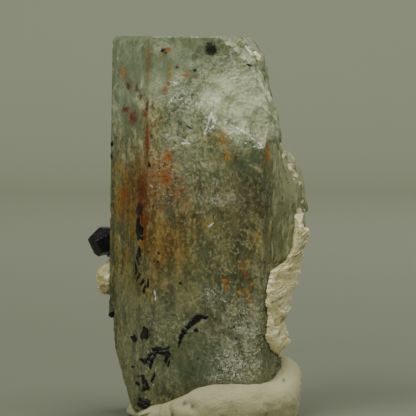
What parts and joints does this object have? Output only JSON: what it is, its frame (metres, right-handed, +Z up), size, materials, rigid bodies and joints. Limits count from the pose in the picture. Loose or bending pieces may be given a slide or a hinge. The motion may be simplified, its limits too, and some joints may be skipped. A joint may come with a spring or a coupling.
{
  "type": "aquamarine crystal with fluorite",
  "caption": "Tall six-sided aquamarine crystal with a broken shoulder, carrying fluorite, cream albite and black schorl, stood in a lump of display putty.",
  "frame": {"origin": "centre of the specimen's box, on the flat underside of the putty", "axes": "+Z up along the prism, the front face looks to -Y, the fluorite is at +X"},
  "size_m": [0.0292, 0.0259, 0.0501],
  "materials": {
    "aquamarine": "clear to frosted, striated crystal faces",
    "fluorite": "see-through, lightly etched",
    "albite": "matte, flaky",
    "schorl": "glossy black",
    "putty": "matte, hand pressed"
  },
  "bodies": {
    "root": {"aquamarine_prism": "aquamarine", "fluorite_mass": "fluorite", "fluorite_grain": "fluorite", "albite_crust": "albite", "albite_patch": "albite", "albite_chip": "albite", "schorl_crystal": "schorl", "schorl_foot_chunk": "schorl", "schorl_edge_grain": "schorl", "display_putty": "putty"}
  },
  "joints": []
}
